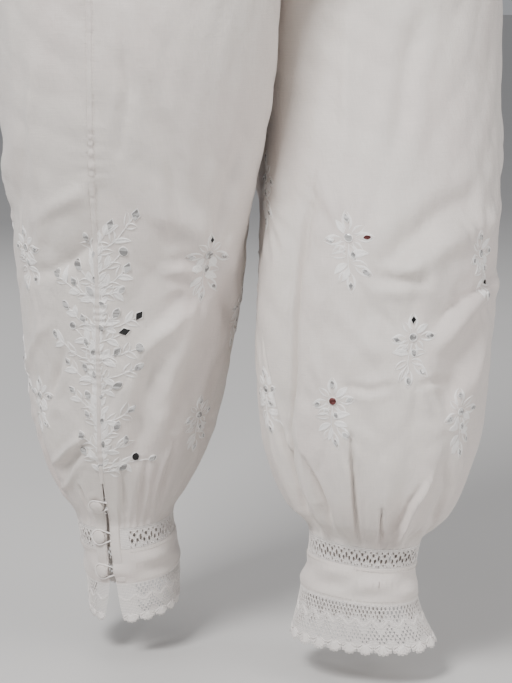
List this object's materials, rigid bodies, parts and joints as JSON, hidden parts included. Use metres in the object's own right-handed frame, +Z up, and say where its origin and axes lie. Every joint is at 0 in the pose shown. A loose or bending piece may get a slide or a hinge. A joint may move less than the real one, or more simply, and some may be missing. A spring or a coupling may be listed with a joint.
{
  "type": "gathered salwar",
  "caption": "Full, gathered salwar with a gathered waist, pleated ankles, lace insertion, plain cuffs, scalloped lace hems and button-and-loop ankle slits, hollow as when worn.",
  "frame": {"origin": "middle of the waist opening, half way down the waistband, where the wearer holds the garment up", "axes": "+Z up the body; the wearer faces -Y, so the wearer's right leg is at -X"},
  "size_m": [0.5258, 0.3817, 1.0018],
  "materials": {
    "white_cloth": "soft sheen, fine plain weave",
    "white_lace": "matte crochet thread",
    "covered_button": "cloth drawn over a dome"
  },
  "bodies": {
    "root": {"waistband": "white_cloth", "right_leg_front": "white_cloth", "right_leg_back": "white_cloth", "right_insertion_front": "white_lace", "right_insertion_back": "white_lace", "right_facing_front": "white_cloth", "right_facing_back": "white_cloth", "right_cuff": "white_cloth", "right_edge_lace": "white_lace", "right_button_1": "covered_button", "right_button_2": "covered_button", "right_button_3": "covered_button", "right_loop_1": "white_lace", "right_loop_2": "white_lace", "right_loop_3": "white_lace", "left_leg_front": "white_cloth", "left_leg_back": "white_cloth", "left_insertion_front": "white_lace", "left_insertion_back": "white_lace", "left_facing_front": "white_cloth", "left_facing_back": "white_cloth", "left_cuff": "white_cloth", "left_edge_lace": "white_lace", "left_button_1": "covered_button", "left_button_2": "covered_button", "left_button_3": "covered_button", "left_loop_1": "white_lace", "left_loop_2": "white_lace", "left_loop_3": "white_lace"}
  },
  "joints": []
}
